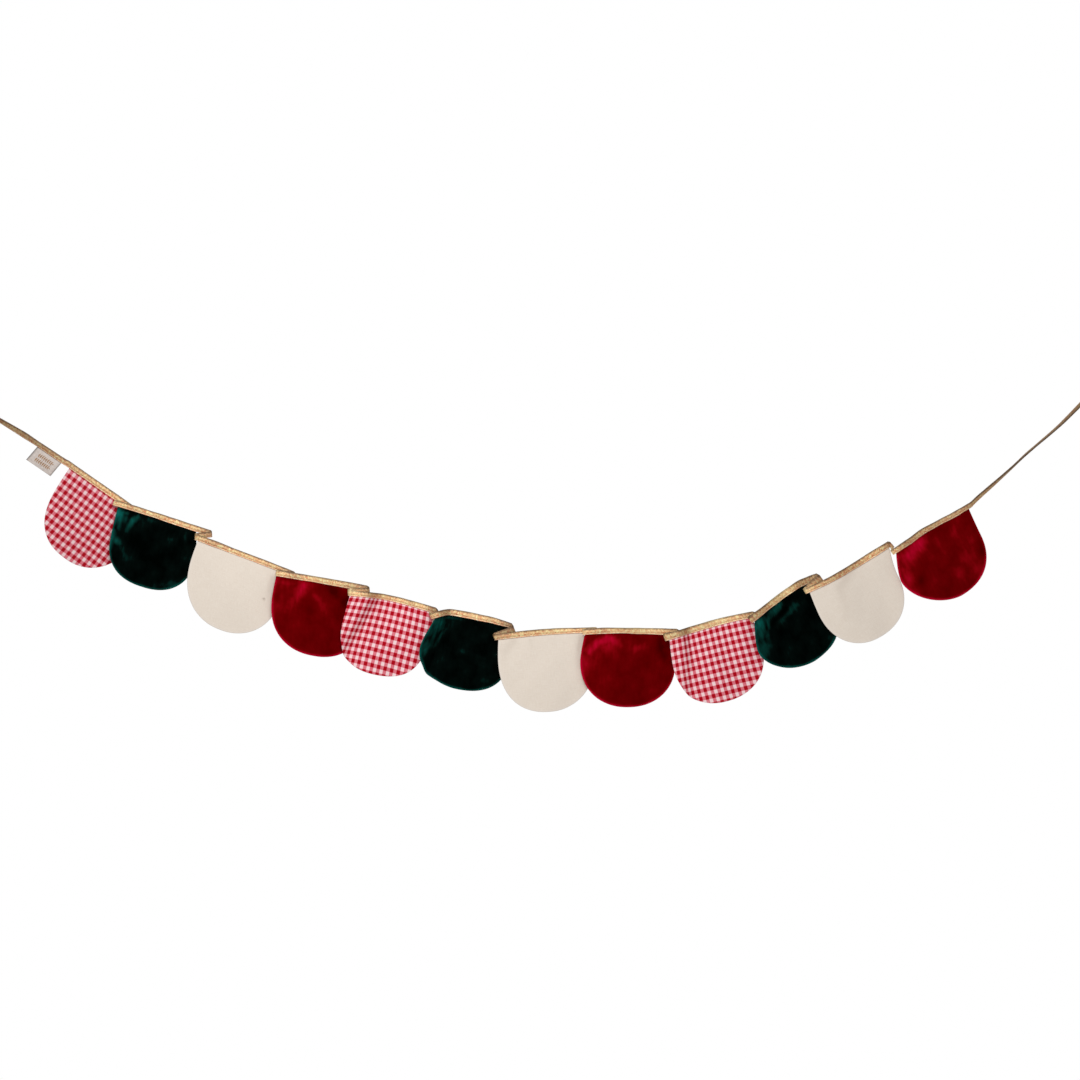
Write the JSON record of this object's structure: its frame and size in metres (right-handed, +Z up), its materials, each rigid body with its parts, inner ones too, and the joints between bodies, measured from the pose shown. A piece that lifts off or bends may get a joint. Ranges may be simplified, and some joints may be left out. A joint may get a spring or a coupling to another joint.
{
  "type": "velvet garland",
  "caption": "Hanging garland of scalloped cloth flags in gingham, velvet and plain cotton, sewn side by side into one folded gold binding tape, with a small satin label.",
  "frame": {"origin": "left end of the binding tape, on its middle line, where the garland is hung", "axes": "+X along the garland to its right end, +Z up, -Y towards the viewer of its front"},
  "size_m": [1.5496, 0.0402, 0.4489],
  "materials": {
    "gold_lurex_tape": "woven gold lurex tape, folded over and stitched, glittering",
    "satin_label": "pale satin ribbon, left bare",
    "gingham_cotton": "yarn-dyed cotton gingham in red and white, pressed",
    "green_velvet": "cut-pile velvet, bottle green with a teal sheen",
    "cream_cotton": "plain-weave cream cotton, pressed",
    "red_velvet": "cut-pile velvet, dark red with a crimson sheen"
  },
  "bodies": {
    "root": {"binding_tape": "gold_lurex_tape", "label": "satin_label", "flag_01_gingham": "gingham_cotton", "flag_02_green_velvet": "green_velvet", "flag_03_cream_cotton": "cream_cotton", "flag_04_red_velvet": "red_velvet", "flag_05_gingham": "gingham_cotton", "flag_06_green_velvet": "green_velvet", "flag_07_cream_cotton": "cream_cotton", "flag_08_red_velvet": "red_velvet", "flag_09_gingham": "gingham_cotton", "flag_10_green_velvet": "green_velvet", "flag_11_cream_cotton": "cream_cotton", "flag_12_red_velvet": "red_velvet"}
  },
  "joints": []
}
